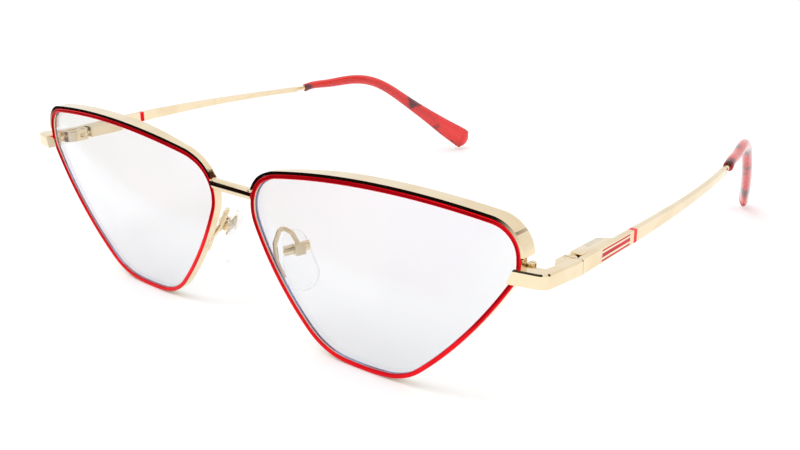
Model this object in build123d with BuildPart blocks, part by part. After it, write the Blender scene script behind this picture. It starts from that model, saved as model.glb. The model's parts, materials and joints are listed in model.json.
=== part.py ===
"""Wire-frame eyeglasses: two spherical lenses in enamelled eyewires, sprung hinges and slim temples.

Millimetres. +X is the wearer's left, +Y runs back along the temples, +Z is up. The origin lies on
the ground under the bridge, and the glasses stand on their lower rims and temple tips. Each piece
is built for the wearer's left and mirrored in the plane X = 0 for the right.
"""
import os
from math import cos, radians, sin, sqrt

from build123d import *

os.makedirs("parts", exist_ok=True)

# ---- Lenses and eyewires --------------------------------------------------------------------
lens_curve_radius = 265.0       # front surface of the rims and lenses, a flat two-dioptre curve
lens_pole_x = 24.7              # the sphere's foremost point, seen from the front
lens_pole_z = 38.4
front_y = -0.9
# corner x, corner z, corner radius, outward bulge of the side that follows
rim_corners = [
    (12.5, 34.7, 5.5, 2.4),     # top, nasal end
    (65.1, 35.4, 5.6, 0.4),     # top, temporal end
    (65.7, 27.5, 4.1, 1.6),     # beside the end piece
    (42.1, 1.25, 14.5, 0.8),    # bottom, temporal end
    (22.4, 1.2, 12.9, 2.3),     # bottom, nasal end
    (4.1, 30.1, 7.7, 0.4),      # beside the bridge
]
rim_width = 0.9
rim_depth = 2.1
enamel_depth = 0.25
lens_setback = 0.25
lens_thickness = 1.6
bevel_height = 0.4              # how far the lens edge reaches into the rim's groove
bevel_front = 0.4               # from the lens front to its bevel
bevel_width = 0.8
lens_clearance = 0.04

# ---- Brow bands and bridge ------------------------------------------------------------------
brow_thickness = 0.6
brow_setback = 0.06
brow_depth = 3.2
brow_nose_back_y = 1.1          # the back of the band beside the bridge
brow_narrow_x = 14.0            # it deepens from here
brow_full_x = 38.0              # to here
brow_bottom_z = 30.75
bridge_z = 29.55
bridge_height = 2.1
bridge_depth = 1.4
bridge_front_y = -0.25
bridge_top_facet = 0.42         # its height and depth
bridge_low_facet_height = 0.85
bridge_low_facet_depth = 0.4

# ---- End pieces -----------------------------------------------------------------------------
half_width = 71.5               # middle of the frame to the outer face of an end piece
arm_thickness = 1.95
plate_top_overhang = 0.3        # the plate's slanted end, past the rim's corner at the top
plate_bottom_overhang = -0.7    # and at the bottom
plate_front_y = 0.3
plate_bend_y = 1.95
plate_back_y = 5.1
plate_back_taper = 1.2          # the plate thins by this much from the arm to its slanted end
bend_radius = 2.0
end_top_z = 29.3
end_bottom_z = 26.65
end_bottom_fall = 0.07          # the arm ends this far below the hinge's lowest face
slant_toe = 0.4                 # the slant carries on this far below the plate
edge_bevel = 0.3                # along the plate's top front edge and round the bend

# ---- Hinges ---------------------------------------------------------------------------------
hinge_inset = 2.6               # from the outer face of the end piece to the hinge screw
hinge_y = 13.2
hinge_bottom_z = 25.85
hinge_height = 2.6
knuckle_radius = 1.3
middle_knuckle_height = 0.86
knuckle_gap = 0.03              # between the flat faces of neighbouring knuckles
running_clearance = 0.04
sweep_clearance = 0.1
hinge_screw_radius = 0.5
hinge_head_radius = 0.9
hinge_head_height = 0.35
screw_slot_width = 0.24
screw_slot_share = 0.6          # of the head's height
leaf_front_y = 8.7
leaf_thickness = 0.9            # of the block at its front end
leaf_taper_length = 2.2
knuckle_relief = 0.06           # between the end piece and the knuckles
temple_front_gap = 0.3          # from the screw axis back to the butt joint
butt_gap = 0.06                 # between the end piece and the temple when they are open

# ---- Spring hinge inside each temple --------------------------------------------------------
housing_front_y = 14.9
housing_length = 10.7
housing_bottom_z = 26.05
housing_top_z = 28.6
neck_width = 0.9
neck_end_y = 15.75
rod_radius = 0.25
bush_length = 1.0
spring_bore_radius = 0.7
housing_wall = 0.4
spring_length = 5.6
spring_turns = 6
spring_wire_radius = 0.11
rod_head_length = 0.5
rod_head_clearance = 0.1
bore_run_out = 0.4

# ---- Temples --------------------------------------------------------------------------------
temple_inset = 0.1              # its outer face, inside the end piece's
temple_thickness = 1.2
temple_straight_y = 27.0
temple_curve_radius = 288.0     # the inward curve of the outer face, seen from above
temple_top_z = (28.8, 28.4, 27.65)      # top edge behind the band, half way, and at the core
temple_bottom_z = (26.4, 26.75, 26.3)
core_radius = 0.6
stripe_front_y = 19.6
stripe_length = 9.6
stripe_shares = ((0.08, 0.22), (0.38, 0.66), (0.81, 0.93))      # of the temple's height
enamel_inlay = 0.15
band_front_y = 30.6
band_length = 1.15

# ---- Temple tips ------------------------------------------------------------------------------
tip_start_y = 85.0              # the mouth of the tip, which sets the length of the temple
core_lead = 3.0                 # the round wire starts this far ahead of the mouth
# distance behind the mouth, z, height and thickness, down to the middle of the paddle
tip_sections = [
    (0.0, 27.0, 2.2, 2.2), (10.0, 27.3, 2.5, 2.3), (18.5, 27.1, 2.7, 2.4),
    (25.0, 25.1, 2.8, 2.4), (31.0, 21.3, 3.0, 2.4), (38.0, 15.9, 3.5, 2.5),
    (45.0, 10.5, 4.6, 2.6), (51.5, 5.6, 5.9, 2.6),
]
paddle_radius = 3.1             # its rounded end rests on the ground

# ---- Nose pads ------------------------------------------------------------------------------
pad_centre = (10.25, 8.6, 15.0)
pad_lean = 15.0                 # top towards the nose, degrees
pad_splay = 28.0                # rear edge away from the nose, degrees
pad_length = 12.6
pad_width = 7.0
pad_thickness = 1.9
pad_axis_up = 2.6               # screw axis above the pad's middle
pad_axis_out = 1.15             # screw axis in front of the pad's outer face
pad_screw_radius = 0.35
pad_screw_length = 4.6
tab_width = 0.8
cheek_thickness = 0.5
pad_arm_radius = 0.48
solder_depth = 0.16             # how far the arm sinks into the back of the rim
pad_foot_low = (12.0, 13.4)             # the arm's line: along the back of the rim (x, z),
pad_foot_high = (10.2, 16.3)
pad_knee = (8.5, 4.1, 19.4)             # up behind it,
pad_arch = (8.2, 6.0, 22.3)             # over the top,
pad_shoulder = (10.2, 7.0, 21.3)        # and down to the box
pad_arm_bend = 0.9

# ---- Rim locks ------------------------------------------------------------------------------
lock_overhang = 1.0             # the barrel's axis, past the rim's corner
lock_y = 5.15
lock_radius = 0.85
lock_bottom_z = 26.5
lock_top_z = 29.45
lock_split_z = 28.0
lock_gap = 0.12
lock_screw_radius = 0.35
lock_head_radius = 0.6
lock_head_height = 0.35

reach = 8.0                     # half the length of cutting prisms, beyond the rims both ways
hinge_top_z = hinge_bottom_z + hinge_height
middle_bottom_z = hinge_bottom_z + (hinge_height - middle_knuckle_height) / 2
middle_top_z = middle_bottom_z + middle_knuckle_height
middle_z = (middle_bottom_z + middle_top_z) / 2
end_inner_x = half_width - arm_thickness
hinge_x = half_width - hinge_inset
temple_face_x = half_width - temple_inset
rim_side_x = rim_corners[2][0]
lock_x = rim_side_x + lock_overhang
core_start_y = tip_start_y - core_lead
tip_stations = [(tip_start_y + behind, *section) for behind, *section in tip_sections]


def save_pair(piece, name):
    """Write the left piece and its mirror image."""
    piece.part.label = f"left_{name}"
    export_step(piece.part, f"parts/left_{name}.step")
    twin = mirror(piece.part, about=Plane.YZ)
    twin.label = f"right_{name}"
    export_step(twin, f"parts/right_{name}.step")


def upright(radius, bottom, top, x=hinge_x, y=hinge_y):
    """A vertical cylinder between two heights."""
    with BuildPart(Plane((x, y, bottom))) as post:
        Cylinder(radius, top - bottom, align=(Align.CENTER, Align.CENTER, Align.MIN))
    return post.part


def slab(x_range, y_range, z_range):
    """A block between pairs of limits."""
    with BuildPart(Plane((x_range[0], y_range[0], z_range[0]))) as block:
        Box(x_range[1] - x_range[0], y_range[1] - y_range[0], z_range[1] - z_range[0],
            align=(Align.MIN, Align.MIN, Align.MIN))
    return block.part


with BuildSketch() as rim_line:
    with BuildLine():
        for here, following in zip(rim_corners, rim_corners[1:] + rim_corners[:1]):
            SagittaArc(here[:2], following[:2], here[3])
    make_face()
    for x, z, radius, _ in rim_corners:
        fillet(rim_line.vertices().sort_by_distance((x, z, 0))[0], radius)


def rim_prism(grow):
    """The outline of one rim, each arc grown from its centre, run through the whole frame."""
    with BuildPart() as prism:
        with BuildSketch(Plane.XZ.offset(reach)):
            with BuildLine():
                for arc in rim_line.edges():
                    scale = 1 + grow / arc.radius
                    ThreePointArc(*(arc.arc_center + (arc @ share - arc.arc_center) * scale
                                    for share in (0, 0.5, 1)))
            make_face()
        extrude(amount=-2 * reach)
    return prism.part


def dish(front, back):
    """The spherical layer between two depths behind the front of the rims."""
    centre = (lens_pole_x, front_y + lens_curve_radius, lens_pole_z)
    with BuildPart(Plane(centre)) as layer:
        Sphere(lens_curve_radius - front)
        Sphere(lens_curve_radius - back, mode=Mode.SUBTRACT)
    return layer.part


def ring(outer, inner, front, back):
    """A band that follows the rim, between two outlines and two depths."""
    with BuildPart() as band:
        add(rim_prism(outer))
        add(rim_prism(inner), mode=Mode.SUBTRACT)
        add(dish(front, back), mode=Mode.INTERSECT)
    return band.part


# ---- Eyewires, their enamel, and the lenses ---------------------------------------------------
half_rim = rim_width / 2
bevel_depth = lens_setback + bevel_front
lens_edge = -half_rim - lens_clearance
bevel_edge = lens_edge + bevel_height

with BuildPart() as eyewire:
    add(ring(half_rim, -half_rim, enamel_depth, rim_depth))
    add(ring(bevel_edge + lens_clearance, -2 * half_rim, bevel_depth - lens_clearance,
             bevel_depth + bevel_width + lens_clearance), mode=Mode.SUBTRACT)
    split_zone = ((lens_pole_x, half_width), (-reach, reach))
    add(slab(*split_zone, (lock_split_z - lock_gap / 2, lock_split_z + lock_gap / 2)),
        mode=Mode.SUBTRACT)
save_pair(eyewire, "eyewire")

with BuildPart() as rim_enamel:
    add(ring(half_rim, -half_rim, 0, enamel_depth))
save_pair(rim_enamel, "rim_enamel")

with BuildPart() as lens:
    add(rim_prism(lens_edge))
    add(dish(lens_setback, lens_setback + lens_thickness), mode=Mode.INTERSECT)
    add(ring(bevel_edge, lens_edge - bevel_height, bevel_depth, bevel_depth + bevel_width))
save_pair(lens, "lens")

# ---- Brow bands: a flat wire soldered along the top of each rim -------------------------------
with BuildPart() as brow_band:
    add(ring(half_rim + brow_thickness, half_rim, brow_setback, brow_setback + brow_depth))
    with BuildSketch(Plane.XY.offset(brow_bottom_z)):
        with BuildLine():
            Polyline((0, -reach), (half_width, -reach), (half_width, 2 * reach),
                     (brow_full_x, 2 * reach), (brow_full_x, brow_depth),
                     (brow_narrow_x, brow_nose_back_y), (0, brow_nose_back_y), close=True)
        make_face()
    extrude(amount=3 * reach, mode=Mode.INTERSECT)
save_pair(brow_band, "brow_band")

# ---- Bridge: one faceted bar between the rims -------------------------------------------------
with BuildPart() as bridge:
    bridge_reach = 2 * rim_corners[5][0]
    with BuildSketch(Plane.YZ.offset(-bridge_reach)):
        top_z = bridge_z + bridge_height / 2
        bottom_z = bridge_z - bridge_height / 2
        bridge_back_y = bridge_front_y + bridge_depth
        with BuildLine():
            Polyline((bridge_front_y, bottom_z + bridge_low_facet_height),
                     (bridge_front_y, top_z - bridge_top_facet),
                     (bridge_front_y + bridge_top_facet, top_z), (bridge_back_y, top_z),
                     (bridge_back_y, bottom_z), (bridge_front_y + bridge_low_facet_depth, bottom_z),
                     close=True)
        make_face()
    extrude(amount=2 * bridge_reach)
    rim_side = rim_prism(half_rim)
    add(rim_side, mode=Mode.SUBTRACT)
    add(mirror(rim_side, about=Plane.YZ), mode=Mode.SUBTRACT)
bridge.part.label = "bridge"
export_step(bridge.part, "parts/bridge.step")

# ---- Rim locks: two blocks on the rim's split, drawn together by a screw ----------------------
rim_inside = rim_prism(half_rim)


def lock_block(bottom, top, hole_radius):
    """A split barrel with a foot that reaches the outside of the rim."""
    with BuildPart() as block:
        add(upright(lock_radius, bottom, top, lock_x, lock_y))
        add(slab((lock_x - 3.0, lock_x), (lock_y - lock_radius, lock_y + 0.1), (bottom, top)))
        add(rim_inside, mode=Mode.SUBTRACT)
        add(upright(hole_radius, bottom, top, lock_x, lock_y), mode=Mode.SUBTRACT)
    return block.part


with BuildPart() as rim_lock_upper:
    add(lock_block(lock_split_z + lock_gap / 2, lock_top_z, lock_screw_radius + running_clearance))
    add(upright(lock_head_radius + running_clearance, lock_top_z - lock_head_height, lock_top_z,
                lock_x, lock_y), mode=Mode.SUBTRACT)
save_pair(rim_lock_upper, "rim_lock_upper")

with BuildPart() as rim_lock_lower:
    add(lock_block(lock_bottom_z, lock_split_z - lock_gap / 2,
                   lock_screw_radius + running_clearance))
save_pair(rim_lock_lower, "rim_lock_lower")

with BuildPart() as rim_lock_screw:
    add(upright(lock_screw_radius, lock_bottom_z + 0.1, lock_top_z - 0.1, lock_x, lock_y))
    add(upright(lock_head_radius, lock_top_z - lock_head_height, lock_top_z, lock_x, lock_y))
    add(slab((lock_x - 1, lock_x + 1),
             (lock_y - screw_slot_width / 2, lock_y + screw_slot_width / 2),
             (lock_top_z - lock_head_height * screw_slot_share, lock_top_z + 1)),
        mode=Mode.SUBTRACT)
save_pair(rim_lock_screw, "rim_lock_screw")

# ---- End pieces: the plate in front of the rim, bent back to the hinge ------------------------
temple_front_y = hinge_y + temple_front_gap
end_back_y = temple_front_y - butt_gap

plate_top_x = rim_side_x + plate_top_overhang
plate_bottom_x = rim_side_x + plate_bottom_overhang

with BuildPart() as end_piece:
    with BuildSketch(Plane.XY.offset(hinge_bottom_z - 1)) as plan:
        with BuildLine():
            Polyline((plate_bottom_x - 1, plate_front_y), (half_width, plate_bend_y),
                     (temple_face_x, end_back_y), (end_inner_x, end_back_y),
                     (end_inner_x, plate_back_y), (plate_top_x, plate_back_y - plate_back_taper),
                     (plate_bottom_x - 1, plate_back_y - plate_back_taper), close=True)
        make_face()
        fillet(plan.vertices().sort_by_distance((half_width, plate_bend_y, 0))[0], bend_radius)
    extrude(amount=end_top_z - hinge_bottom_z + 2)
    with BuildSketch(Plane.XZ.offset(reach)):                      # seen from the front
        with BuildLine():
            Polyline((plate_bottom_x, end_bottom_z), (plate_top_x, end_top_z),
                     (half_width + 1, end_top_z), (half_width + 1, hinge_bottom_z - 1),
                     (plate_bottom_x - slant_toe, hinge_bottom_z - 1), close=True)
        make_face()
    extrude(amount=-3 * reach, mode=Mode.INTERSECT)
    with BuildSketch(Plane.YZ.offset(plate_bottom_x - reach)):     # seen from the side
        with BuildLine():
            Polyline((plate_front_y, end_top_z), (end_back_y, hinge_top_z), (end_back_y, hinge_bottom_z - end_bottom_fall),
                     (plate_bend_y, end_bottom_z), (plate_front_y, end_bottom_z), close=True)
        make_face()
    extrude(amount=half_width - plate_bottom_x + 2 * reach, mode=Mode.INTERSECT)
    bend_top = (half_width, plate_bend_y, end_top_z)
    chamfer(end_piece.edges().sort_by_distance(bend_top)[0], edge_bevel)
    with BuildPart(mode=Mode.PRIVATE) as rim_room:
        add(rim_inside)
        add(dish(0, lens_curve_radius / 2), mode=Mode.INTERSECT)
    add(rim_room.part, mode=Mode.SUBTRACT)
    add(upright(knuckle_radius + knuckle_relief, hinge_bottom_z - 1, end_top_z),
        mode=Mode.SUBTRACT)
save_pair(end_piece, "end_piece")

# ---- Front hinge leaves: two knuckles on a block brazed to the end piece ----------------------
with BuildPart() as hinge_leaf:
    with BuildSketch(Plane.XY.offset(hinge_bottom_z)):
        with BuildLine():
            Polyline((end_inner_x, leaf_front_y),
                     (end_inner_x - leaf_thickness, leaf_front_y + leaf_thickness / 2),
                     (hinge_x - knuckle_radius, leaf_front_y + leaf_taper_length),
                     (hinge_x - knuckle_radius, hinge_y), (end_inner_x, hinge_y), close=True)
        make_face()
        with Locations((hinge_x, hinge_y)):
            Circle(knuckle_radius)
    extrude(amount=hinge_height)
    slot_front_y = hinge_y - knuckle_radius - sweep_clearance
    add(slab((hinge_x - reach, hinge_x + reach), (slot_front_y, hinge_y + reach),
             (middle_bottom_z - knuckle_gap, middle_top_z + knuckle_gap)), mode=Mode.SUBTRACT)
    add(upright(hinge_screw_radius + running_clearance, hinge_bottom_z, hinge_top_z),
        mode=Mode.SUBTRACT)
    add(upright(hinge_head_radius + running_clearance, hinge_top_z - hinge_head_height,
                hinge_top_z), mode=Mode.SUBTRACT)
save_pair(hinge_leaf, "hinge_leaf")

with BuildPart() as hinge_screw:
    add(upright(hinge_screw_radius, hinge_bottom_z, hinge_top_z - hinge_head_height))
    add(upright(hinge_head_radius, hinge_top_z - hinge_head_height, hinge_top_z))
    add(slab((hinge_x - 1, hinge_x + 1),
             (hinge_y - screw_slot_width / 2, hinge_y + screw_slot_width / 2),
             (hinge_top_z - hinge_head_height * screw_slot_share, hinge_top_z + 1)),
        mode=Mode.SUBTRACT)
save_pair(hinge_screw, "hinge_screw")

# ---- Sliders: the middle knuckle on a rod that the spring pulls into the temple ---------------
bush_y = neck_end_y + knuckle_gap
spring_y = bush_y + bush_length + knuckle_gap
rod_head_y = spring_y + spring_length + knuckle_gap
bore_end_y = rod_head_y + rod_head_length + bore_run_out


def lengthwise(radius, start, end):
    """A cylinder along the temple, in line with the hinge."""
    with BuildPart(Plane((hinge_x, start, middle_z), x_dir=(1, 0, 0), z_dir=(0, 1, 0))) as bar:
        Cylinder(radius, end - start, align=(Align.CENTER, Align.CENTER, Align.MIN))
    return bar.part


with BuildPart() as hinge_slider:
    add(upright(knuckle_radius, middle_bottom_z, middle_top_z))
    add(slab((hinge_x - neck_width / 2, hinge_x + neck_width / 2), (hinge_y, neck_end_y),
             (middle_bottom_z, middle_top_z)))
    add(lengthwise(rod_radius, neck_end_y - 0.1, rod_head_y + rod_head_length))
    add(lengthwise(spring_bore_radius - rod_head_clearance, rod_head_y,
                   rod_head_y + rod_head_length))
    add(upright(hinge_screw_radius + running_clearance, middle_bottom_z, middle_top_z),
        mode=Mode.SUBTRACT)
save_pair(hinge_slider, "hinge_slider")

with BuildPart() as spring_bush:
    add(lengthwise(spring_bore_radius, bush_y, bush_y + bush_length))
    add(lengthwise(rod_radius + running_clearance, bush_y, bush_y + bush_length),
        mode=Mode.SUBTRACT)
save_pair(spring_bush, "spring_bush")

coil_radius = (rod_radius + spring_bore_radius) / 2
coil_start_y = spring_y + 2 * spring_wire_radius
coil_length = spring_length - 4 * spring_wire_radius
with BuildPart() as hinge_spring:
    with BuildLine() as coil:
        Helix(coil_length / spring_turns, coil_length, coil_radius,
              center=(hinge_x, coil_start_y, middle_z), direction=(0, 1, 0))
    with BuildSketch(Plane(coil.line @ 0, z_dir=coil.line % 0)):
        Circle(spring_wire_radius)
    sweep(path=coil.line, is_frenet=True)
save_pair(hinge_spring, "hinge_spring")

# ---- Temples: a flat tapering band that ends in a round wire core -----------------------------
inner_face_x = temple_face_x - temple_thickness


def temple_x(y, inwards=0.0):
    """How far out the temple lies at a place along it, measured inwards from its outer face."""
    behind = max(y - temple_straight_y, 0.0)
    radius = temple_curve_radius - inwards
    return temple_face_x - temple_curve_radius + sqrt(radius ** 2 - behind ** 2)


def tip_plane(stations, place):
    """Square to the line through the stations, with its first axis level and outwards."""
    near = stations[max(place - 1, 0):place + 2]
    points = [Vector(temple_x(y, temple_thickness / 2), y, z) for y, z, _, _ in (near[0], near[-1])]
    along = (points[1] - points[0]).normalized()
    y, z = stations[place][:2]
    centre = (temple_x(y, temple_thickness / 2), y, z)
    return Plane(centre, x_dir=along.cross(Vector(0, 0, 1)), z_dir=along)


def along_tip(stations, oval):
    """Smooth body through sections square to the tip's line; oval gives each one's half axes."""
    with BuildPart() as body:
        for place, (_, _, height, thickness) in enumerate(stations):
            with BuildSketch(tip_plane(stations, place)):
                Ellipse(*oval(thickness / 2, height / 2))
        loft()
    return body.part


def core(grow):
    """The wire that runs inside the tip to the start of its paddle."""
    stations = [(core_start_y - 0.5, *tip_stations[0][1:])] + tip_stations[:-1]
    return along_tip(stations, lambda across, upright: (core_radius + grow, core_radius + grow))


def height_at(share, y):
    """A share of the way up the temple's side, ahead of the enamel band."""
    run = (y - temple_front_y) / (band_front_y - temple_front_y)
    bottom = hinge_bottom_z + run * (temple_bottom_z[0] - hinge_bottom_z)
    top = hinge_top_z + run * (temple_top_z[0] - hinge_top_z)
    return bottom + share * (top - bottom)


with BuildPart() as stripe_room:
    with BuildSketch(Plane.YZ.offset(temple_face_x - enamel_inlay)):
        for low, high in stripe_shares:
            ends = (stripe_front_y, stripe_front_y + stripe_length)
            with BuildLine():
                Polyline((ends[0], height_at(low, ends[0])), (ends[1], height_at(low, ends[1])),
                         (ends[1], height_at(high, ends[1])), (ends[0], height_at(high, ends[0])),
                         close=True)
            make_face()
    extrude(amount=1)

with BuildPart() as band_room:
    band_back_y = band_front_y + band_length
    add(slab((inner_face_x - 1, temple_face_x + 1), (band_front_y, band_back_y),
             (hinge_bottom_z - 1, hinge_top_z + 1)))
    add(slab((inner_face_x + enamel_inlay, temple_x(band_back_y) - enamel_inlay),
             (band_front_y, band_back_y),
             (temple_bottom_z[0] + 2 * enamel_inlay, temple_top_z[0] - 2 * enamel_inlay)),
        mode=Mode.SUBTRACT)

with BuildPart() as temple_blank:
    with BuildSketch(Plane.XY.offset(hinge_bottom_z - 2)):
        middle_y = (temple_straight_y + core_start_y) / 2
        bend = (temple_straight_y, middle_y, core_start_y)
        with BuildLine():
            Polyline((inner_face_x, temple_straight_y), (inner_face_x, temple_front_y),
                     (temple_face_x, temple_front_y), (temple_face_x, temple_straight_y))
            ThreePointArc(*((temple_x(y), y) for y in bend))
            Line((temple_x(core_start_y), core_start_y),
                 (temple_x(core_start_y, temple_thickness), core_start_y))
            ThreePointArc(*((temple_x(y, temple_thickness), y) for y in reversed(bend)))
        make_face()
    extrude(amount=hinge_height + 4)
    with BuildSketch(Plane.YZ.offset(temple_face_x - 3 * reach)):
        rows = (band_front_y, middle_y, core_start_y)
        top = [(temple_front_y, hinge_top_z)] + list(zip(rows, temple_top_z))
        bottom = [(temple_front_y, hinge_bottom_z)] + list(zip(rows, temple_bottom_z))
        with BuildLine():
            Spline(*top)
            Line(top[-1], bottom[-1])
            Spline(*reversed(bottom))
            Line(bottom[0], top[0])
        make_face()
    extrude(amount=4 * reach, mode=Mode.INTERSECT)

with BuildPart() as temple_shaft:
    add(temple_blank.part)
    add(core(0))
    add(upright(knuckle_radius + sweep_clearance, hinge_bottom_z - 1, hinge_top_z + 1),
        mode=Mode.SUBTRACT)
    add(stripe_room.part, mode=Mode.SUBTRACT)
    add(band_room.part, mode=Mode.SUBTRACT)
save_pair(temple_shaft, "temple_shaft")

with BuildPart() as temple_stripes:
    add(stripe_room.part)
    add(temple_blank.part, mode=Mode.INTERSECT)
save_pair(temple_stripes, "temple_stripes")

with BuildPart() as temple_band:
    add(band_room.part)
    add(temple_blank.part, mode=Mode.INTERSECT)
save_pair(temple_band, "temple_band")

with BuildPart() as spring_housing:
    housing_inner_x = hinge_x - spring_bore_radius - housing_wall
    housing_back_y = housing_front_y + housing_length
    with BuildSketch(Plane.XY.offset(housing_bottom_z)) as housing_plan:
        with BuildLine():
            Polyline((inner_face_x, housing_front_y), (housing_inner_x, housing_front_y),
                     (housing_inner_x, bore_end_y + housing_wall), (inner_face_x, housing_back_y),
                     close=True)
        make_face()
        for corner_y, radius in ((housing_front_y, 0.3), (bore_end_y + housing_wall, 1.2)):
            fillet(housing_plan.vertices().sort_by_distance((housing_inner_x, corner_y, 0))[0],
                   radius)
    extrude(amount=housing_top_z - housing_bottom_z)
    add(slab((hinge_x - neck_width / 2 - running_clearance,
              hinge_x + neck_width / 2 + running_clearance), (housing_front_y - 1, bush_y),
             (middle_bottom_z - running_clearance, middle_top_z + running_clearance)),
        mode=Mode.SUBTRACT)
    add(lengthwise(spring_bore_radius, bush_y, bore_end_y), mode=Mode.SUBTRACT)
save_pair(spring_housing, "spring_housing")

# ---- Temple tips: moulded over the wire, curved down behind the ear to a flat paddle -----------
last_y, last_z, _, last_thickness = tip_stations[-1]
slope = (tip_stations[-2][1] - last_z) / (last_y - tip_stations[-2][0])
paddle_y = last_y + (last_z - paddle_radius) / slope
paddle = (paddle_y, paddle_radius, 2 * paddle_radius, last_thickness)

end_plane = tip_plane(tip_stations + [paddle], len(tip_stations))
flattening = (last_thickness / (2 * paddle_radius), 1, 1)
paddle_end = end_plane * scale(Sphere(paddle_radius, arc_size1=0), by=flattening)

with BuildPart() as temple_tip:
    add(along_tip(tip_stations + [paddle], lambda across, upright: (across, upright)))
    add(paddle_end)
    add(core(knuckle_gap), mode=Mode.SUBTRACT)
save_pair(temple_tip, "temple_tip")

# ---- Nose pads: silicone moulded round a metal plate, tipping on a small screw -----------------
# The pad's own frame: x towards the back, y up, z away from the nose.
pad_up = Vector(-sin(radians(pad_lean)), 0, cos(radians(pad_lean)))
pad_back = Vector(sin(radians(pad_splay)), cos(radians(pad_splay)), 0)
pad_back = (pad_back - pad_up * pad_back.dot(pad_up)).normalized()
pad_frame = Plane(pad_centre, x_dir=pad_back, z_dir=pad_back.cross(pad_up))
pad_face = pad_thickness / 2
pad_axis_z = pad_face + pad_axis_out
tab_radius = 0.75
box_half_width = tab_width / 2 + sweep_clearance + cheek_thickness
box_half_height = 1.2
box_low_z = pad_axis_z - 0.85
box_high_z = pad_axis_z + tab_radius + sweep_clearance + 0.35


def pad_slab(x_half, y_range, z_range):
    """A block in the pad's frame, even about its middle plane."""
    with BuildPart(pad_frame) as block:
        with Locations((0, (y_range[0] + y_range[1]) / 2, (z_range[0] + z_range[1]) / 2)):
            Box(2 * x_half, y_range[1] - y_range[0], z_range[1] - z_range[0])
    return block.part


def across_pad(radius, start, end):
    """A cylinder on the pad's screw axis."""
    with BuildPart(pad_frame) as bar:
        with Locations(Location(((start + end) / 2, pad_axis_up, pad_axis_z), (0, 90, 0))):
            Cylinder(radius, end - start)
    return bar.part


plate_block = pad_slab(2.7, (pad_axis_up - 1.0, pad_axis_up + 1.0), (pad_face - 0.35, pad_face))

with BuildPart() as nose_pad:
    with BuildSketch(pad_frame.offset(-pad_face)):
        with Locations((0, (pad_width - pad_length) / 2)):
            Circle(pad_width / 2)
        with Locations((0, pad_length / 2 - 0.7 * pad_width / 2)):
            Circle(0.7 * pad_width / 2)
        make_hull()
    extrude(amount=pad_thickness)
    faces_by_depth = nose_pad.faces().sort_by(Axis(pad_frame.origin, pad_frame.z_dir))
    fillet(faces_by_depth[0].edges(), 0.45 * pad_thickness)
    fillet(nose_pad.faces().sort_by(Axis(pad_frame.origin, pad_frame.z_dir))[-1].edges(),
           0.2 * pad_thickness)
    add(plate_block, mode=Mode.SUBTRACT)
save_pair(nose_pad, "nose_pad")

with BuildPart() as pad_insert:
    add(plate_block)
    add(pad_slab(tab_width / 2, (pad_axis_up - tab_radius, pad_axis_up + tab_radius),
                 (pad_face - 0.1, pad_axis_z)))
    add(across_pad(tab_radius, -tab_width / 2, tab_width / 2))
    add(across_pad(pad_screw_radius + running_clearance, -tab_width, tab_width),
        mode=Mode.SUBTRACT)
save_pair(pad_insert, "pad_insert")

with BuildPart() as pad_box:
    add(pad_slab(box_half_width, (pad_axis_up - box_half_height, pad_axis_up + box_half_height),
                 (box_low_z, box_high_z)))
    add(pad_slab(tab_width / 2 + sweep_clearance, (pad_axis_up - 3, pad_axis_up + 3),
                 (box_low_z - 1, pad_axis_z + tab_radius + sweep_clearance)), mode=Mode.SUBTRACT)
    add(across_pad(pad_screw_radius + running_clearance, -pad_screw_length, pad_screw_length),
        mode=Mode.SUBTRACT)
save_pair(pad_box, "pad_box")

with BuildPart() as pad_screw:
    head_x = box_half_width
    add(across_pad(pad_screw_radius, head_x - pad_screw_length + 0.4, head_x))
    add(across_pad(1.6 * pad_screw_radius, head_x, head_x + 0.4))
save_pair(pad_screw, "pad_screw")

# ---- Pad arms: a wire from the back of the rim, up and over to the box --------------------------
def rim_back_y(x, z):
    """Where the back of the rims lies, at a place seen from the front."""
    across = (x - lens_pole_x) ** 2 + (z - lens_pole_z) ** 2
    return front_y + rim_depth + lens_curve_radius - sqrt(lens_curve_radius ** 2 - across)


with BuildPart() as pad_arm:
    feet = [(x, rim_back_y(x, z) + pad_arm_radius - solder_depth, z)
            for x, z in (pad_foot_low, pad_foot_high)]
    arm_end = pad_frame.from_local_coords((0, pad_axis_up + box_half_height - 0.3, box_high_z - 0.55))
    with BuildLine() as arm_line:
        FilletPolyline(*feet, pad_knee, pad_arch, pad_shoulder, arm_end, radius=pad_arm_bend)
    with BuildSketch(Plane(arm_line.line @ 0, z_dir=arm_line.line % 0)):
        Circle(pad_arm_radius)
    sweep(path=arm_line.line)
    add(eyewire.part, mode=Mode.SUBTRACT)
    add(pad_slab(box_half_width, (pad_axis_up - box_half_height, pad_axis_up + box_half_height),
                 (box_low_z, box_high_z)), mode=Mode.SUBTRACT)
save_pair(pad_arm, "pad_arm")
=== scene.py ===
# %% [markdown]
# # Wire-frame eyeglasses
# The glasses are already modelled as solid parts, each in its true place and size. This lesson
# gives them their looks: polished gold plating, red lacquer, clear lenses, translucent tips and
# clear silicone pads. Lengths are in metres, so millimetres are written as 0.9 * MM, except where
# a cell says that it takes millimetres.

# %% Load the solid parts
import json
from math import cos, pi, radians, sin

import bmesh
import bpy
import numpy as np
from mathutils import Matrix, Vector
from mathutils.geometry import convex_hull_2d

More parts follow.
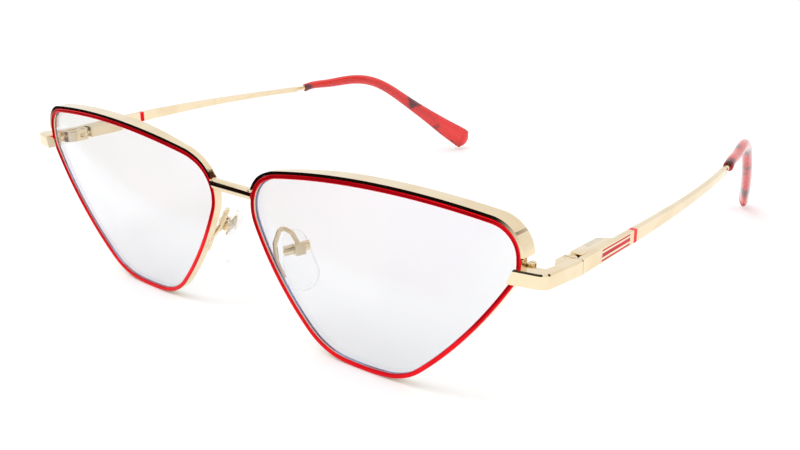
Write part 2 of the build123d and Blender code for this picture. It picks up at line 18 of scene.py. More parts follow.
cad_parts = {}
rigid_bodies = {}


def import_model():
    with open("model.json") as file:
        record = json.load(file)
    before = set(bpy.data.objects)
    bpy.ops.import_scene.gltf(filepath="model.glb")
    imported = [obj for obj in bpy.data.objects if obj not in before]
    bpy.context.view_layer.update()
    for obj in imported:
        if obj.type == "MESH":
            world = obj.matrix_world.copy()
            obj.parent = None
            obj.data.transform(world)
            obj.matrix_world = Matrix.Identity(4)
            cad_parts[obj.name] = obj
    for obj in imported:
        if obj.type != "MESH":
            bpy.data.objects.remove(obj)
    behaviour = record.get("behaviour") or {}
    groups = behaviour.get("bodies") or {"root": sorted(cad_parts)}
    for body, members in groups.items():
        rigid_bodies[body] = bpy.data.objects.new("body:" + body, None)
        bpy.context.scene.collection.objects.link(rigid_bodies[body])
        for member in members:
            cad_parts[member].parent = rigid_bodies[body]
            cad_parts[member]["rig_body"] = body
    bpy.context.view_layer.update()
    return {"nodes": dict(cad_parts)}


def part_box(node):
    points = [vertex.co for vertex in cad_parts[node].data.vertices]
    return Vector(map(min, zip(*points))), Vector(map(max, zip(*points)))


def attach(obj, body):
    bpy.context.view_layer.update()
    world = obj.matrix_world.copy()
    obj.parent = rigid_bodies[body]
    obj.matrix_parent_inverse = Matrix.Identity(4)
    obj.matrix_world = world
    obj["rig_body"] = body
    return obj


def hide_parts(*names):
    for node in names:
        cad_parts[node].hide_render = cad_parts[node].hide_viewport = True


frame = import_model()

MM = 0.001
SIDES = ("left", "right")
nodes = frame["nodes"]

# %% [markdown]
# ## The camera
# The glasses are seen from the wearer's left front and a little from above, from so close that
# the far rim looks clearly smaller than the near one. The camera is placed by two angles and a
# distance from the point it looks at, so each can be changed by itself.

# %% Place the camera
view_azimuth = radians(40.29)
view_elevation = radians(19.48)
view_roll = radians(-0.31)
view_distance = 230 * MM
view_target = Vector((11.7, 37.4, 14.6)) * MM


def direction(azimuth, elevation):
    """From the middle outwards: azimuth 0 is straight ahead of the wearer, 90 the wearer's left."""
    return Vector((sin(azimuth) * cos(elevation), -cos(azimuth) * cos(elevation), sin(elevation)))


camera = bpy.data.objects.new("camera", bpy.data.cameras.new("camera"))
bpy.context.scene.collection.objects.link(camera)
place = view_target + direction(view_azimuth, view_elevation) * view_distance
level = direction(view_azimuth, view_elevation).to_track_quat("Z", "Y").to_matrix().to_4x4()
camera.matrix_world = Matrix.Translation(place) @ level @ Matrix.Rotation(view_roll, 4, "Z")
camera.data.lens = 47.18
camera.data.sensor_width = 36.0
camera.data.clip_start = 10 * MM
bpy.context.scene.camera = camera
bpy.context.scene.view_settings.view_transform = "Standard"
print("camera at", [round(v / MM) for v in place], "mm")

# %% [markdown]
# ## Node helpers
# A finish is a small network of shader nodes. Two short helpers keep the networks readable: one
# adds a node and sets its sockets by name, the other makes a material that holds one Principled
# shader. Effects that several finishes share are node groups, built once.

# %% Helpers for shader nodes
def add_node(tree, kind, inputs=None, **settings):
    """A node with its settings and its unlinked sockets filled in."""
    node = tree.nodes.new(kind)
    for key, value in settings.items():
        setattr(node, key, value)
    for key, value in (inputs or {}).items():
        if isinstance(value, bpy.types.NodeSocket):
            tree.links.new(value, node.inputs[key])
        else:
            node.inputs[key].default_value = value
    return node


def new_group(name, inputs, outputs):
    """An empty shader group with named sockets."""
    group = bpy.data.node_groups.new(name, "ShaderNodeTree")
    for label, (kind, default) in inputs.items():
        socket = group.interface.new_socket(label, in_out="INPUT", socket_type=kind)
        socket.default_value = default
    for label, kind in outputs.items():
        group.interface.new_socket(label, in_out="OUTPUT", socket_type=kind)
    return group, group.nodes.new("NodeGroupInput").outputs, group.nodes.new("NodeGroupOutput")


def new_finish(name, **sockets):
    """A material with one Principled shader; returns it with its tree and its shader."""
    material = bpy.data.materials.new(name)
    material.use_nodes = True
    shader = material.node_tree.nodes["Principled BSDF"]
    for key, value in sockets.items():
        shader.inputs[key.replace("_", " ")].default_value = value
    return material, material.node_tree, shader


# %% [markdown]
# ## Wear on a polished surface
# Nothing that is handled every day stays a perfect mirror. Wiping leaves faint hazy patches, and
# cloths and cases leave hair-fine lines. Both are noise: a broad one for the haze, and one
# stretched from front to back for the lines. The group puts out a roughness and a height, which each
# finish feeds to its own shader.

# %% Shared effect: handling wear
wear, wear_in, wear_out = new_group(
    "handling_wear",
    {"Roughness": ("NodeSocketFloat", 0.1), "Haze": ("NodeSocketFloat", 0.05),
     "Lines": ("NodeSocketFloat", 0.2), "Patch Scale": ("NodeSocketFloat", 300.0)},
    {"Roughness": "NodeSocketFloat", "Height": "NodeSocketFloat"})
where = add_node(wear, "ShaderNodeTexCoord").outputs["Object"]
patches = add_node(wear, "ShaderNodeTexNoise",
                   {"Vector": where, "Scale": wear_in["Patch Scale"], "Detail": 3.0})
stretched = add_node(wear, "ShaderNodeMapping", {"Vector": where, "Scale": (6.0, 1.0, 9.0)})
lines = add_node(wear, "ShaderNodeTexNoise",
                 {"Vector": stretched.outputs["Vector"], "Scale": 900.0, "Detail": 4.0})
haze = add_node(wear, "ShaderNodeMath",
                {0: patches.outputs["Fac"], 1: wear_in["Haze"], 2: wear_in["Roughness"]},
                operation="MULTIPLY_ADD")
height = add_node(wear, "ShaderNodeMath", {0: lines.outputs["Fac"], 1: wear_in["Lines"]},
                  operation="MULTIPLY")
wear.links.new(haze.outputs[0], wear_out.inputs["Roughness"])
wear.links.new(height.outputs[0], wear_out.inputs["Height"])
print("group:", wear.name, "with", len(wear.nodes), "nodes")

# %% [markdown]
# ## Slow changes of tone
# Plating is never quite even, enamel pools a little darker in its thick places, and cast acetate
# is mottled. One group makes all three: it mixes two colours by a noise whose contrast is set by
# the finish.

# %% Shared effect: uneven tone
tone, tone_in, tone_out = new_group(
    "uneven_tone",
    {"Light": ("NodeSocketColor", (1, 1, 1, 1)), "Dark": ("NodeSocketColor", (0, 0, 0, 1)),
     "Scale": ("NodeSocketFloat", 100.0), "From": ("NodeSocketFloat", 0.4),
     "To": ("NodeSocketFloat", 0.6), "Amount": ("NodeSocketFloat", 1.0)},
    {"Color": "NodeSocketColor", "Mask": "NodeSocketFloat"})
where = add_node(tone, "ShaderNodeTexCoord").outputs["Object"]
clouds = add_node(tone, "ShaderNodeTexNoise",
                  {"Vector": where, "Scale": tone_in["Scale"], "Detail": 2.0})
spread = add_node(tone, "ShaderNodeMapRange",
                  {"Value": clouds.outputs["Fac"], "From Min": tone_in["From"],
                   "From Max": tone_in["To"], "To Max": tone_in["Amount"]},
                  interpolation_type="SMOOTHSTEP")
mixed = add_node(tone, "ShaderNodeMix", {"Factor": spread.outputs["Result"]}, data_type="RGBA")
tone.links.new(tone_in["Light"], mixed.inputs[6])
tone.links.new(tone_in["Dark"], mixed.inputs[7])
tone.links.new(mixed.outputs[2], tone_out.inputs["Color"])
tone.links.new(spread.outputs["Result"], tone_out.inputs["Mask"])
print("group:", tone.name, "with", len(tone.nodes), "nodes")

# %% [markdown]
# ## Laying the effects on a finish
# Colour, roughness and the fine relief of the lines always go to the same three sockets, so one
# helper wires them. The relief could be real displacement, but it is only microns deep, and a
# bump does the same for the light at no cost in geometry.

# %% Helper: lay the two effects on a finish
def lay_effects(tree, shader, light, dark, wear_values, tone_values, bump=0.002 * MM):
    """Feeds a shader its colour, roughness and fine relief from the two shared groups."""
    colour = add_node(tree, "ShaderNodeGroup", node_tree=tone)
    colour.inputs["Light"].default_value = (*light, 1)
    colour.inputs["Dark"].default_value = (*dark, 1)
    for key, value in tone_values.items():
        colour.inputs[key].default_value = value
    handled = add_node(tree, "ShaderNodeGroup", node_tree=wear)
    for key, value in wear_values.items():
        handled.inputs[key].default_value = value
    relief = add_node(tree, "ShaderNodeBump", {"Height": handled.outputs["Height"],
                                               "Strength": 0.6, "Distance": bump})
    tree.links.new(colour.outputs["Color"], shader.inputs["Base Color"])
    tree.links.new(handled.outputs["Roughness"], shader.inputs["Roughness"])
    tree.links.new(relief.outputs["Normal"], shader.inputs["Normal"])


# %% [markdown]
# ## Metals and enamel
# Frames like this are usually a nickel alloy, polished and then plated with pale champagne gold,
# which mirrors what stands around it. A metal's colour is the colour of its reflection: a warm cream
# base and a low roughness are all it needs. The red is a translucent lacquer over that polished
# metal. It mirrors its surroundings in red and shows some body colour of its own, so it is partly
# metallic, with a deep red base. The stripes are a rosier lacquer, and the springs bright steel.

# %% Gold, enamel and steel
gold, tree, shader = new_finish("champagne_gold", Metallic=1.0)
lay_effects(tree, shader, (0.85, 0.715, 0.495), (0.79, 0.63, 0.41),
            {"Roughness": 0.045, "Haze": 0.05, "Lines": 0.25}, {"Scale": 160.0, "Amount": 0.7})

red_enamel, tree, shader = new_finish("lacquer_red", Metallic=0.65, Specular_IOR_Level=0.2)
lay_effects(tree, shader, (0.84, 0.004, 0.012), (0.70, 0.002, 0.008),
            {"Roughness": 0.10, "Haze": 0.10, "Lines": 0.1}, {"Scale": 220.0, "Amount": 0.6})

pink_enamel, tree, shader = new_finish("rose_enamel", Metallic=0.8)
lay_effects(tree, shader, (0.62, 0.010, 0.040), (0.42, 0.004, 0.020),
            {"Roughness": 0.16, "Haze": 0.10, "Lines": 0.1}, {"Scale": 400.0, "Amount": 0.6})

steel, tree, shader = new_finish("bright_steel", Metallic=1.0)
lay_effects(tree, shader, (0.62, 0.61, 0.60), (0.50, 0.49, 0.48),
            {"Roughness": 0.16, "Haze": 0.12, "Lines": 0.8}, {"Scale": 500.0, "Amount": 0.5})
print("finishes:", gold.name, red_enamel.name, pink_enamel.name, steel.name)

# %% [markdown]
# ## Clear and translucent finishes
# A lens is a solid of glass-clear plastic with an anti-reflective film a few hundred nanometres
# thick, whose faint blue and violet shine is thin-film colour. The shader has the film built in.
# Light that only passes through a clear part on its way to the ground should not be blocked by
# it, so these finishes let shadow rays through by their alpha.

# %% Let light through clear parts
def let_light_through(tree, shader, share, body=1.0):
    """Makes a clear part cast only a faint shadow, and look as solid as its body says."""
    path = add_node(tree, "ShaderNodeLightPath")
    alpha = add_node(tree, "ShaderNodeMath",
                     {0: path.outputs["Is Shadow Ray"], 1: -share * body, 2: body},
                     operation="MULTIPLY_ADD")
    tree.links.new(alpha.outputs[0], shader.inputs["Alpha"])


# %% [markdown]
# ## Lens, lens edge, acetate and silicone
# The lens is nearly colourless. Its edge is a finely ground strip, coloured blue and violet as a painted
# reflection of the lens coating seen through the lens. The tips are mottled red acetate that glows where
# it is thin, and the pads are silicone so clear that mostly their edges show. All four are the same
# shader with other values.

# %% Lens, lens edge, acetate and silicone
clear_lens, tree, shader = new_finish("coated_lens", IOR=1.5, Thin_Film_Thickness=420.0,
                                      Thin_Film_IOR=1.38, Transmission_Weight=1.0)
lay_effects(tree, shader, (0.83, 0.832, 0.845), (0.81, 0.812, 0.83),
            {"Roughness": 0.0, "Haze": 0.012, "Lines": 0.05}, {"Scale": 40.0, "Amount": 1.0})
let_light_through(tree, shader, 0.93)

# painted reflection: the edge strip's blue and violet base colour stands for the coating's reflection
# seen through the lens
lens_edge, tree, shader = new_finish("lens_edge")
lay_effects(tree, shader, (0.22, 0.36, 0.95), (0.16, 0.02, 0.34),
            {"Roughness": 0.35, "Haze": 0.1, "Lines": 0.2},
            {"Scale": 150.0, "From": 0.45, "To": 0.56})
let_light_through(tree, shader, 0.9)

acetate, tree, shader = new_finish("tip_acetate", IOR=1.48, Transmission_Weight=0.45,
                                   Coat_Weight=0.6, Coat_Roughness=0.04)
lay_effects(tree, shader, (0.86, 0.012, 0.006), (0.10, 0.002, 0.012),
            {"Roughness": 0.12, "Haze": 0.10, "Lines": 0.15},
            {"Scale": 130.0, "From": 0.52, "To": 0.62, "Amount": 0.95})
let_light_through(tree, shader, 0.5)

silicone, tree, shader = new_finish("pad_silicone", IOR=1.20, Transmission_Weight=0.97)
lay_effects(tree, shader, (0.97, 0.97, 0.98), (0.94, 0.94, 0.96),
            {"Roughness": 0.10, "Haze": 0.10, "Lines": 0.3}, {"Scale": 300.0, "Amount": 0.7})
let_light_through(tree, shader, 0.85, body=0.35)
print("finishes:", clear_lens.name, lens_edge.name, acetate.name, silicone.name)

# %% [markdown]
# ## From a solid to a finished piece
# The solids come as loose triangles with razor edges. Real plated parts have edges that were
# rounded by polishing, and it is those rounds that catch the light. A solid is copied and its
# triangles are joined. Where a radius is given, flat faces are merged again and the sharp edges
# get a small round.

# %% Helpers for pieces
def new_piece(name, mesh, material, like):
    """A piece that moves with a solid part's body and stands for it; the solid is hidden."""
    piece = bpy.data.objects.new(name, mesh)
    bpy.context.scene.collection.objects.link(piece)
    mesh.materials.clear()
    mesh.materials.append(material)
    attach(piece, nodes[like]["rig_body"])
    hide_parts(like)
    return piece


def welded(node):
    """The joined triangles of a solid, as an open bmesh."""
    work = bmesh.new()
    work.from_mesh(nodes[node].data)
    bmesh.ops.remove_doubles(work, verts=work.verts, dist=0.001 * MM)
    return work


def closed(work):
    """Whether every edge joins two faces."""
    return all(edge.is_manifold for edge in work.edges)


def finished(node, material, rounding=0.0, crease=18):
    """A smooth-shaded copy of a solid, its sharp edges rounded if a rounding is given."""
    work = welded(node)
    if rounding:
        bmesh.ops.dissolve_limit(work, angle_limit=radians(0.5), verts=work.verts,
                                 edges=work.edges)
        sharp = [e for e in work.edges if e.is_manifold and e.calc_face_angle() > radians(crease)
                 and e.calc_length() > 2 * rounding]
        bmesh.ops.bevel(work, geom=sharp, offset=rounding, offset_type="OFFSET", segments=3,
                        profile=0.5, affect="EDGES", clamp_overlap=True, miter_outer="ARC")
        bmesh.ops.triangulate(work, faces=[f for f in work.faces if len(f.verts) > 4])
    sound = closed(work)
    mesh = bpy.data.meshes.new(f"{node}_finished")
    work.to_mesh(mesh)
    work.free()
    mesh.shade_smooth()
    mesh.set_sharp_from_angle(angle=radians(crease))
    piece = new_piece(f"{node}_finished", mesh, material, node)
    print(piece.name, len(mesh.polygons), "faces", "closed" if sound else "open")
    return piece


# %% [markdown]
# ## Plated parts
# Rim locks, leaves, boxes and wires are stamped or turned, tumbled and then plated, which leaves
# each with its own small edge radius. The table gives it in millimetres. Zero keeps every edge
# as the solid has it.

# %% Edge radii, and the bridge
gold_roundings = {"brow_band": 0.0, "end_piece": 0.0, "hinge_leaf": 0.06, "hinge_screw": 0.02,
                  "hinge_slider": 0.0, "spring_housing": 0.10, "temple_shaft": 0.0,
                  "pad_box": 0.05, "pad_arm": 0.0, "pad_insert": 0.04, "pad_screw": 0.03,
                  "rim_lock_upper": 0.05, "rim_lock_lower": 0.05, "rim_lock_screw": 0.02}
finished("bridge", gold)

# %% [markdown]
# ## Solder drops
# The bar of the bridge is soldered to the rims, and a polished drop stands on each of its ends.
# A drop could be modelled by hand, but a tree that puts one ball on every point it is given
# keeps the radius as one named input.

# %% Scatter the solder drops
def drop_tree():
    """One small ball on every point of a mesh."""
    tree = bpy.data.node_groups.new("solder_drops", "GeometryNodeTree")
    face = tree.interface
    face.new_socket("Geometry", in_out="INPUT", socket_type="NodeSocketGeometry")
    face.new_socket("Radius", in_out="INPUT", socket_type="NodeSocketFloat")
    face.new_socket("Finish", in_out="INPUT", socket_type="NodeSocketMaterial")
    face.new_socket("Geometry", in_out="OUTPUT", socket_type="NodeSocketGeometry")
    given = tree.nodes.new("NodeGroupInput").outputs
    result = tree.nodes.new("NodeGroupOutput")
    ball = add_node(tree, "GeometryNodeMeshUVSphere",
                    {"Segments": 32, "Rings": 20, "Radius": given["Radius"]})
    spread = add_node(tree, "GeometryNodeInstanceOnPoints",
                      {"Points": given["Geometry"], "Instance": ball.outputs["Mesh"]})
    real = add_node(tree, "GeometryNodeRealizeInstances",
                    {"Geometry": spread.outputs["Instances"]})
    painted = add_node(tree, "GeometryNodeSetMaterial",
                       {"Geometry": real.outputs["Geometry"], "Material": given["Finish"]})
    tree.links.new(painted.outputs["Geometry"], result.inputs["Geometry"])
    return tree


def set_input(modifier, name, value):
    """A Geometry Nodes input by its name."""
    sockets = modifier.node_group.interface.items_tree
    socket = next(s for s in sockets if s.name == name and s.in_out == "INPUT")
    modifier[socket.identifier] = value


def made_real(piece):
    """The plain mesh that a piece's modifiers make; the piece itself is removed."""
    bpy.context.view_layer.update()
    mesh = bpy.data.meshes.new_from_object(
        piece.evaluated_get(bpy.context.evaluated_depsgraph_get()))
    bpy.data.objects.remove(piece)
    return mesh


bridge_low, bridge_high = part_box("bridge")
drop_radius = 0.5 * MM
drop_inset = 0.95 * MM
drop_sink = 0.25 * MM
drop_x = bridge_high.x - drop_inset
drop_y = bridge_low.y + drop_radius
drop_z = bridge_high.z - drop_sink
points = bpy.data.meshes.new("drop_points")
points.from_pydata([(way * drop_x, drop_y, drop_z) for way in (-1, 1)], [], [])
drops = bpy.data.objects.new("drops", points)
bpy.context.scene.collection.objects.link(drops)
modifier = drops.modifiers.new("drops", "NODES")
modifier.node_group = drop_tree()
set_input(modifier, "Radius", drop_radius)
set_input(modifier, "Finish", gold)
mesh = made_real(drops)
mesh.name = "solder_drops"
mesh.shade_smooth()
new_piece("solder_drops", mesh, gold, "bridge")
print("solder drops:", len(mesh.polygons), "faces")

# %% [markdown]
# ## The plated parts of each side
# Both sides are worked through the same table, left and then right, as a workshop would finish
# them in pairs.

# %% Plated pieces of each side
for side in SIDES:
    for part, rounding in gold_roundings.items():
        finished(f"{side}_{part}", gold, rounding * MM)

# %% [markdown]
# ## Stage
# Glasses are shown on a white sweep in a white room, so that the clear parts stay clean. A large
# pale floor and an even white world do that. The floor lies a hair below the rims, which keeps
# the two surfaces from fighting for the same place.

# %% Floor and world
floor_mesh = bpy.data.meshes.new("floor")
floor_half = 6.0
floor_mesh.from_pydata([(-floor_half, -floor_half, 0), (floor_half, -floor_half, 0),
                        (floor_half, floor_half, 0), (-floor_half, floor_half, 0)],
                       [], [(0, 1, 2, 3)])
floor = bpy.data.objects.new("floor", floor_mesh)
floor.location.z = -0.05 * MM
bpy.context.scene.collection.objects.link(floor)
floor_finish, tree, shader = new_finish("pale_floor", Specular_IOR_Level=0.1)
lay_effects(tree, shader, (0.93, 0.93, 0.93), (0.92, 0.92, 0.92),
            {"Roughness": 0.85, "Haze": 0.1, "Lines": 0.0}, {"Scale": 3.0})
floor_mesh.materials.append(floor_finish)

world = bpy.data.worlds.new("studio")
world.use_nodes = True
world.node_tree.nodes["Background"].inputs["Color"].default_value = (1.0, 1.0, 1.0, 1)
world.node_tree.nodes["Background"].inputs["Strength"].default_value = 1.0
bpy.context.scene.world = world
print("floor half side in m:", floor_half)

# %% [markdown]
# ## Dark flags
# Polished metal in a white room would look like paper. Product lighting gives it its dark lines
# with flags: dark cards placed round the object. Here they show only in reflections, so one can
# even lie inside the view. Each flag is one card that turns from dark to the room's white at its
# border, so its reflection can end hard or softly. It casts no shadow and can't be seen directly
# or through the lenses.

# %% Flag helpers
def dark_flag(name, corners, tint=(0.004, 0.002, 0.002), solid=0.95):
    """A dark card that fades to the studio's white at its border and shows only in reflections."""
    mesh = bpy.data.meshes.new(name)
    mesh.from_pydata([Vector(corner) * MM for corner in corners], [], [(0, 1, 2, 3)])
    mesh.uv_layers.new().data.foreach_set("uv", (-1, -1, 1, -1, 1, 1, -1, 1))
    flag = bpy.data.objects.new(name, mesh)
    bpy.context.scene.collection.objects.link(flag)
    card, tree, shader = new_finish(name, Base_Color=(*tint, 1), Roughness=1.0,
                                    Specular_IOR_Level=0.0, Emission_Strength=1.0)
    across = add_node(tree, "ShaderNodeTexCoord").outputs["UV"]
    sides = add_node(tree, "ShaderNodeSeparateXYZ", {"Vector": across})
    reach = [add_node(tree, "ShaderNodeMath", {0: sides.outputs[axis]}, operation="ABSOLUTE")
             for axis in "XY"]
    nearest = add_node(tree, "ShaderNodeMath", {0: reach[0].outputs[0], 1: reach[1].outputs[0]},
                       operation="MAXIMUM")
    fade = add_node(tree, "ShaderNodeMapRange", {"Value": nearest.outputs[0], "From Min": solid},
                    interpolation_type="SMOOTHSTEP")
    glow = add_node(tree, "ShaderNodeMix", {"Factor": fade.outputs["Result"]}, data_type="RGBA")
    glow.inputs[6].default_value = (*tint, 1)
    glow.inputs[7].default_value = (1, 1, 1, 1)
    tree.links.new(glow.outputs[2], shader.inputs["Emission Color"])
    mesh.materials.append(card)
    flag.visible_camera = flag.visible_diffuse = False
    flag.visible_shadow = flag.visible_transmission = False
    print(name, "dark to", solid, "of its half width")


def level_flag(name, xs, ys, z, **more):
    """A flag lying flat between two places each way, in millimetres."""
    dark_flag(name, [(xs[0], ys[0], z), (xs[1], ys[0], z), (xs[1], ys[1], z),
                     (xs[0], ys[1], z)], **more)


def standing_flag(name, azimuth, distance, width, heights, **more):
    """An upright flag at a distance from the middle of the lenses, in millimetres."""
    out = direction(radians(azimuth), 0)
    across = out.cross(Vector((0, 0, 1))) * width / 2
    corners = [out * distance + across * way + Vector((0, 0, z))
               for way, z in ((-1, heights[0]), (1, heights[0]), (1, heights[1]), (-1, heights[1]))]
    dark_flag(name, corners, **more)


def square_flag(name, xs, y, heights, **more):
    """An upright flag behind the frame and square to it, in millimetres."""
    dark_flag(name, [(xs[0], y, heights[0]), (xs[1], y, heights[0]),
                     (xs[1], y, heights[1]), (xs[0], y, heights[1])], **more)


# %% [markdown]
# ## Placing the flags
# The front flag is for the faces that look straight ahead, the upper one for the rounded edge of
# the beads, the top one for the chamfers on the end pieces. Two behind the frame, one brown and one tan,
# are for the walls of the brow bands. They are placed for this camera: from another side some
# plates mirror a whole flag and turn black.

# %% Place the flags
level_flag("front_flag", (-620, 46), (-560, -22), 0.3)
level_flag("top_flag", (-300, 330), (-290, -50), 500)
standing_flag("upper_flag", -46, 560, 420, (0, 470))
square_flag("rear_flag", (190, 340), 270, (170, 420), tint=(0.035, 0.012, 0.008), solid=0.8)
square_flag("tan_flag", (300, 480), 270, (20, 300), tint=(0.38, 0.20, 0.10), solid=0.1)

# %% [markdown]
# ## Softbox
# The white world gives hardly any shadow. One weak, broad lamp high in front lays a faint soft one under
# the rims and the tips, which is what seats the glasses on the floor.

# %% Hang the softbox
lamp = bpy.data.lights.new("softbox", "AREA")
lamp.shape = "SQUARE"
lamp.size = 0.6
lamp.energy = 3.0
softbox = bpy.data.objects.new("softbox", lamp)
bpy.context.scene.collection.objects.link(softbox)
softbox.location = direction(radians(-30), radians(70)) * 0.9
softbox.rotation_euler = softbox.location.to_track_quat("Z", "Y").to_euler()
print("softbox of", lamp.size, "m,", lamp.energy, "W")

# %% [markdown]
# ## Rims
# A rim is a wire of one section bent along the edge of its lens: the front is a rounded bead of
# red enamel, the rest is plated metal with a groove for the lens. A sweep is the natural way to
# make it, and Geometry Nodes keep the sweep's sizes as named inputs. The line it follows is read
# from the solid: the outer edge of its front is the outline's convex hull.

# %% Read the outlines and the lens curve
rim_width = 0.9 * MM
rim_depth = 2.1 * MM
enamel_depth = 0.25 * MM
steps = 480


def rim_outline(side):
    """The front outer edge of a rim as evenly spaced points, with its outward directions."""
    points = np.array([v.co for v in nodes[f"{side}_rim_enamel"].data.vertices])
    flat = points[:, [0, 2]]
    corners = []
    for index in convex_hull_2d([tuple(p) for p in flat]):
        same = np.linalg.norm(flat - flat[index], axis=1) < 0.02 * MM
        corners.append((flat[index][0], points[same, 1].min(), flat[index][1]))
    corners = np.array(corners + corners[:1])
    run = np.concatenate([[0], np.cumsum(np.linalg.norm(np.diff(corners, axis=0), axis=1))])
    at = np.linspace(0, run[-1], steps, endpoint=False)
    even = np.stack([np.interp(at, run, corners[:, axis]) for axis in range(3)], axis=1)
    for _ in range(6):
        even = (np.roll(even, 1, 0) + 2 * even + np.roll(even, -1, 0)) / 4
    along = np.roll(even, -1, 0) - np.roll(even, 1, 0)
    outward = np.stack([along[:, 2], np.zeros(steps), -along[:, 0]], axis=1)
    outward /= np.linalg.norm(outward, axis=1)[:, None]
    middle = even.mean(0)
    if ((even - middle) * outward).sum() < 0:
        outward = -outward
    return even, outward


def fit_sphere(points):
    """Centre and radius of the sphere nearest to some points."""
    system = np.hstack([2 * points, np.ones((len(points), 1))])
    solution = np.linalg.lstsq(system, (points ** 2).sum(1), rcond=None)[0]
    return solution[:3], float(np.sqrt(solution[3] + (solution[:3] ** 2).sum()))


outlines = {side: rim_outline(side) for side in SIDES}
spheres = {}
for side in SIDES:
    shell = nodes[f"{side}_lens"].data
    front = {v for face in shell.polygons if face.normal.y < -0.95 for v in face.vertices}
    spheres[side] = fit_sphere(np.array([shell.vertices[v].co for v in front]))
    print(side, "outline", len(outlines[side][0]), "points, lens curve",
          round(spheres[side][1] / MM, 1), "mm")

# %% [markdown]
# The sweep itself: a curve is bent over the outline and a section is drawn along it. The corners
# of the section are rounded first, by the helper below, so that an edge shows a soft line of light.

# %% The rim sweep in Geometry Nodes
def sweep_tree():
    """Section swept along a closed line: inputs are the line, the section, and its material."""
    tree = bpy.data.node_groups.new("rim_sweep", "GeometryNodeTree")
    face = tree.interface
    face.new_socket("Geometry", in_out="INPUT", socket_type="NodeSocketGeometry")
    face.new_socket("Section", in_out="INPUT", socket_type="NodeSocketObject")
    face.new_socket("Scale", in_out="INPUT", socket_type="NodeSocketFloat").default_value = 1.0
    face.new_socket("Finish", in_out="INPUT", socket_type="NodeSocketMaterial")
    face.new_socket("Geometry", in_out="OUTPUT", socket_type="NodeSocketGeometry")
    given = tree.nodes.new("NodeGroupInput").outputs
    result = tree.nodes.new("NodeGroupOutput")
    line = add_node(tree, "GeometryNodeMeshToCurve", {"Mesh": given["Geometry"]})
    upright = add_node(tree, "GeometryNodeSetCurveNormal", {"Curve": line.outputs["Curve"]},
                       mode="Z_UP")
    section = add_node(tree, "GeometryNodeObjectInfo", {"Object": given["Section"]})
    outline = add_node(tree, "GeometryNodeMeshToCurve", {"Mesh": section.outputs["Geometry"]})
    swept = add_node(tree, "GeometryNodeCurveToMesh",
                     {"Curve": upright.outputs["Curve"], "Profile Curve": outline.outputs["Curve"],
                      "Scale": given["Scale"], "Fill Caps": True})
    turned = add_node(tree, "GeometryNodeTransform",
                      {"Geometry": swept.outputs["Mesh"], "Rotation": (pi / 2, 0, 0)})
    real = add_node(tree, "GeometryNodeRealizeInstances",
                    {"Geometry": turned.outputs["Geometry"]})
    painted = add_node(tree, "GeometryNodeSetMaterial",
                       {"Geometry": real.outputs["Geometry"], "Material": given["Finish"]})
    tree.links.new(painted.outputs["Geometry"], result.inputs["Geometry"])
    return tree


def loop_mesh(name, points, closed_loop=True):
    """A chain of edges through some points."""
    count = len(points)
    edges = [(i, (i + 1) % count) for i in range(count if closed_loop else count - 1)]
    mesh = bpy.data.meshes.new(name)
    mesh.from_pydata([tuple(p) for p in points], edges, [])
    return mesh


rim_sweep = sweep_tree()


def swept_piece(name, line, section, material, like):
    """Sweeps a section (across, backwards) along a line given in the glasses' frame."""
    # the sweep runs lying down: x, z and minus y of the glasses become its x, y and z
    lying = [(x, z, -y) for x, y, z in line]
    path = bpy.data.objects.new(name, loop_mesh(name, lying))
    cut = bpy.data.objects.new(f"{name}_section", loop_mesh(f"{name}_section",
                                                            [(a, b, 0) for a, b in section]))
    for item in (path, cut):
        bpy.context.scene.collection.objects.link(item)
    modifier = path.modifiers.new("sweep", "NODES")
    modifier.node_group = rim_sweep
    set_input(modifier, "Section", cut)
    set_input(modifier, "Finish", material)
    mesh = made_real(path)
    bpy.data.objects.remove(cut)
    work = bmesh.new()
    work.from_mesh(mesh)
    bmesh.ops.remove_doubles(work, verts=work.verts, dist=0.0005 * MM)
    bmesh.ops.recalc_face_normals(work, faces=work.faces)
    sound = closed(work)
    work.to_mesh(mesh)
    work.free()
    mesh.name = name
    mesh.shade_smooth()
    mesh.set_sharp_from_angle(angle=radians(40))
    piece = new_piece(name, mesh, material, like)
    low = np.array([v.co for v in mesh.vertices]).min(0) / MM
    high = np.array([v.co for v in mesh.vertices]).max(0) / MM
    print(name, len(mesh.polygons), "faces", "closed" if sound else "open", low, high)
    return piece


def section_points(corners, rounding, arc_steps=4):
    """A closed section with its corners rounded: corners are (across, backwards) in metres."""
    points = []
    count = len(corners)
    for i, corner in enumerate(corners):
        here = Vector(corner)
        before = (Vector(corners[i - 1]) - here).normalized() * rounding[i]
        after = (Vector(corners[(i + 1) % count]) - here).normalized() * rounding[i]
        if not rounding[i]:
            points.append(tuple(here))
            continue
        for step in range(arc_steps + 1):
            t = step / arc_steps
            points.append(tuple(here + before * (1 - t) ** 2 + after * t ** 2))
    return points


# %% [markdown]
# ## Sections of the rim
# The bead is a shallow rectangle with two rounded front corners. The metal behind it has a
# rectangular groove, on a real wire milled or rolled, that opens towards the lens. Across, a
# section is measured from its middle and mirrored for the sweep, so the groove faces inwards.

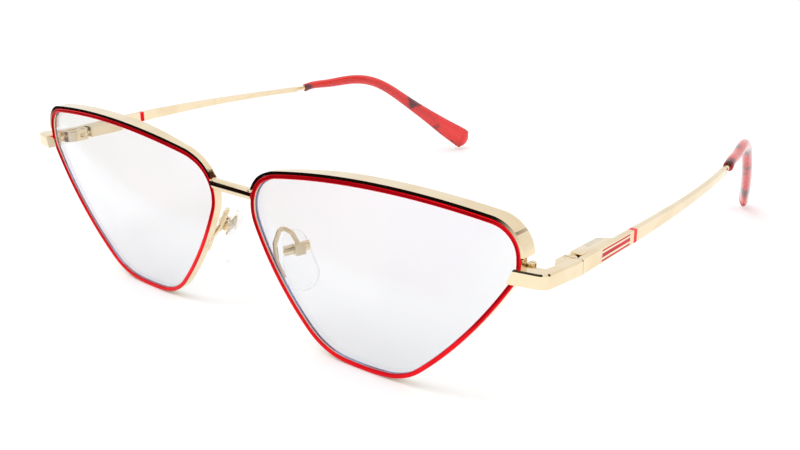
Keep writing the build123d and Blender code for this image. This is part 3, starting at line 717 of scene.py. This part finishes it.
# %% Sweep the enamel beads and the metal of the rims
half = rim_width / 2
groove_front = 0.82 * MM
groove_back = 1.68 * MM
groove_floor = 0.05 * MM
bead = section_points([(-half, enamel_depth), (-half, 0), (half, 0), (half, enamel_depth)],
                      [0, 0.24 * MM, 0.24 * MM, 0])
wire = section_points([(-half, rim_depth), (-half, enamel_depth), (half, enamel_depth),
                       (half, groove_front), (groove_floor, groove_front),
                       (groove_floor, groove_back), (half, groove_back), (half, rim_depth)],
                      [0.15 * MM, 0, 0, 0.03 * MM, 0, 0, 0.03 * MM, 0.15 * MM])
for side in SIDES:
    edge, outward = outlines[side]
    middle = edge - outward * half
    swept_piece(f"{side}_enamel_bead", middle, [(-across, deep) for across, deep in bead], red_enamel,
                f"{side}_rim_enamel")
    swept_piece(f"{side}_rim_wire", middle, [(-across, deep) for across, deep in wire], gold,
                f"{side}_eyewire")

# %% [markdown]
# ## Lenses
# Each lens is a thin slice between two spheres, ground to a shallow V at its edge. Rings of points
# shrink from the outline towards its middle and are dropped onto the front and the back sphere,
# which gives a smooth surface. Two things are only approximate. The sphere is fitted to every
# point of the solid that faces front. That takes in the ridge round its edge, 0.4 mm further back,
# so the sphere comes out more strongly curved than the solid. And the V is thicker than the
# opening of the rim's groove, so the lens and the metal overlap inside the rim.

# %% Grind the lenses
lens_inset = 0.94 * MM
lens_thickness = 1.6 * MM
bevel_reach = 0.4 * MM
ring_shares = (1.0, 0.985, 0.95, 0.88, 0.76, 0.6, 0.42, 0.24, 0.1)


def on_sphere(side, flat, deeper):
    """Puts points seen from the front onto the lens's sphere, some way behind its front."""
    centre, radius = spheres[side]
    radius -= deeper
    across = (flat[:, 0] - centre[0]) ** 2 + (flat[:, 1] - centre[2]) ** 2
    return np.stack([flat[:, 0], centre[1] - np.sqrt(radius ** 2 - across), flat[:, 1]], axis=1)


for side in SIDES:
    edge, outward = outlines[side]
    rim_line = (edge - outward * lens_inset)[:, [0, 2]]
    tip_line = (edge - outward * (lens_inset - bevel_reach))[:, [0, 2]]
    centre = rim_line.mean(0)
    rings = [on_sphere(side, centre + (rim_line - centre) * share, 0) for share in ring_shares]
    rings.reverse()
    rings.append(on_sphere(side, tip_line, lens_thickness * 0.5))
    rings += [on_sphere(side, centre + (rim_line - centre) * share, lens_thickness)
              for share in ring_shares]
    work = bmesh.new()
    loops = [[work.verts.new(p) for p in ring] for ring in rings]
    for number, (loop, following) in enumerate(zip(loops, loops[1:])):
        for i in range(steps):
            j = (i + 1) % steps
            face = work.faces.new((loop[i], loop[j], following[j], following[i]))
            face.material_index = int(number in (len(ring_shares) - 1, len(ring_shares)))
    for loop in (loops[0], loops[-1]):
        hub = work.verts.new(sum((v.co for v in loop), Vector()) / steps)
        for i in range(steps):
            work.faces.new((loop[i], loop[(i + 1) % steps], hub))
    bmesh.ops.recalc_face_normals(work, faces=work.faces)
    sound = closed(work)
    mesh = bpy.data.meshes.new(f"{side}_ground_lens")
    work.to_mesh(mesh)
    work.free()
    mesh.shade_smooth()
    mesh.set_sharp_from_angle(angle=radians(20))
    marks = [face.material_index for face in mesh.polygons]
    piece = new_piece(mesh.name, mesh, clear_lens, f"{side}_lens")
    mesh.materials.append(lens_edge)
    mesh.polygons.foreach_set("material_index", marks)
    print(piece.name, len(mesh.polygons), "faces", "closed" if sound else "open")

# %% [markdown]
# ## Tips, pads, band and stripes
# Tips are moulded, or bent from sheet and tumbled, and pads are moulded. Both need no added edge
# radius: faces that meet at less than 60 degrees are shaded as one smooth surface. The band and
# the stripes are lacquer laid into shallow recesses of the temple and wiped level, so they keep
# the crisp edges of the solid.

# %% Tips, pads, band and stripes
for side in SIDES:
    finished(f"{side}_temple_tip", acetate, crease=60)
    finished(f"{side}_nose_pad", silicone, crease=60)
    finished(f"{side}_temple_band", red_enamel)
    finished(f"{side}_temple_stripes", pink_enamel)

# %% [markdown]
# ## Springs
# The coil and its bush sit inside the housing, out of sight, and are good enough as solids. They
# keep their own mesh and only take the steel.

# %% Steel on the springs and bushes
for side in SIDES:
    for part in ("hinge_spring", "spring_bush"):
        node = nodes[f"{side}_{part}"]
        node.data.materials.clear()
        node.data.materials.append(steel)
        print(node.name, "is", steel.name)
